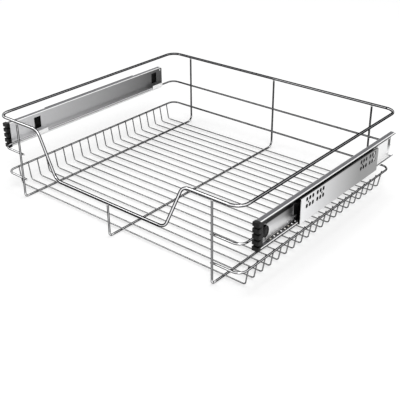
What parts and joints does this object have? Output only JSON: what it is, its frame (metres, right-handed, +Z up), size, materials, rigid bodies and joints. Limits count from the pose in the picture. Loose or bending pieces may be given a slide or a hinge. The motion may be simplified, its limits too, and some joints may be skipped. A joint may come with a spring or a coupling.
{
  "type": "pull-out cabinet basket",
  "caption": "Chromed wire basket with a dipped front that pulls out of a cabinet on ball-bearing side slides.",
  "frame": {"origin": "below the middle of the basket's footprint, level with the underside of its three runner wires", "axes": "+X to the right across the cabinet as seen by someone who stands in front of it, +Y from the front to the back, +Z up"},
  "size_m": [0.564, 0.452, 0.1453],
  "materials": {
    "basket_chrome": "bright chrome plating on steel wire",
    "rail_steel": "bright zinc plating on rolled steel",
    "hook_steel": "bright zinc plating on stamped steel",
    "inner_rail_steel": "zinc plating with a thin film of grease",
    "cage_steel": "thin bright steel sheet",
    "ball_steel": "polished bearing steel",
    "plate_steel": "satin zinc plating",
    "black_plastic": "matte black moulded plastic"
  },
  "bodies": {
    "cabinet": {"left_cabinet_rail": "plate_steel", "right_cabinet_rail": "plate_steel"},
    "basket": {"rim_wire": "basket_chrome", "middle_wire": "basket_chrome", "lower_wire": "basket_chrome", "left_runner_wire": "basket_chrome", "centre_runner_wire": "basket_chrome", "right_runner_wire": "basket_chrome", "cross_wires_front": "basket_chrome", "cross_wires_middle_front": "basket_chrome", "cross_wires_middle_rear": "basket_chrome", "cross_wires_rear": "basket_chrome", "left_drawer_rail": "rail_steel", "left_hooks": "hook_steel", "left_bumper": "black_plastic", "right_drawer_rail": "rail_steel", "right_hooks": "hook_steel", "right_bumper": "black_plastic"},
    "left_middle": {"left_middle_rail": "inner_rail_steel"},
    "left_outer_retainer": {"left_outer_cage": "cage_steel", "left_outer_balls": "ball_steel"},
    "left_inner_retainer": {"left_inner_cage": "cage_steel", "left_inner_balls": "ball_steel"},
    "right_middle": {"right_middle_rail": "inner_rail_steel"},
    "right_outer_retainer": {"right_outer_cage": "cage_steel", "right_outer_balls": "ball_steel"},
    "right_inner_retainer": {"right_inner_cage": "cage_steel", "right_inner_balls": "ball_steel"}
  },
  "joints": [
    {"name": "basket_slide", "type": "slide", "parent": "cabinet", "child": "basket", "axis": [0, -1, 0], "range_m": [0, 0.38]},
    {"name": "left_middle_slide", "type": "slide", "parent": "cabinet", "child": "left_middle", "axis": [0, -1, 0], "range_m": [0, 0.19]},
    {"name": "left_outer_retainer_slide", "type": "slide", "parent": "cabinet", "child": "left_outer_retainer", "axis": [0, -1, 0], "range_m": [0, 0.285]},
    {"name": "left_inner_retainer_slide", "type": "slide", "parent": "cabinet", "child": "left_inner_retainer", "axis": [0, -1, 0], "range_m": [0, 0.095]},
    {"name": "right_middle_slide", "type": "slide", "parent": "cabinet", "child": "right_middle", "axis": [0, -1, 0], "range_m": [0, 0.19]},
    {"name": "right_outer_retainer_slide", "type": "slide", "parent": "cabinet", "child": "right_outer_retainer", "axis": [0, -1, 0], "range_m": [0, 0.285]},
    {"name": "right_inner_retainer_slide", "type": "slide", "parent": "cabinet", "child": "right_inner_retainer", "axis": [0, -1, 0], "range_m": [0, 0.095]}
  ],
  "couplings": [
    {"joint": "left_middle_slide", "follows": "basket_slide", "ratio": 0.5},
    {"joint": "left_outer_retainer_slide", "follows": "basket_slide", "ratio": 0.75},
    {"joint": "left_inner_retainer_slide", "follows": "basket_slide", "ratio": 0.25},
    {"joint": "right_middle_slide", "follows": "basket_slide", "ratio": 0.5},
    {"joint": "right_outer_retainer_slide", "follows": "basket_slide", "ratio": 0.75},
    {"joint": "right_inner_retainer_slide", "follows": "basket_slide", "ratio": 0.25}
  ]
}
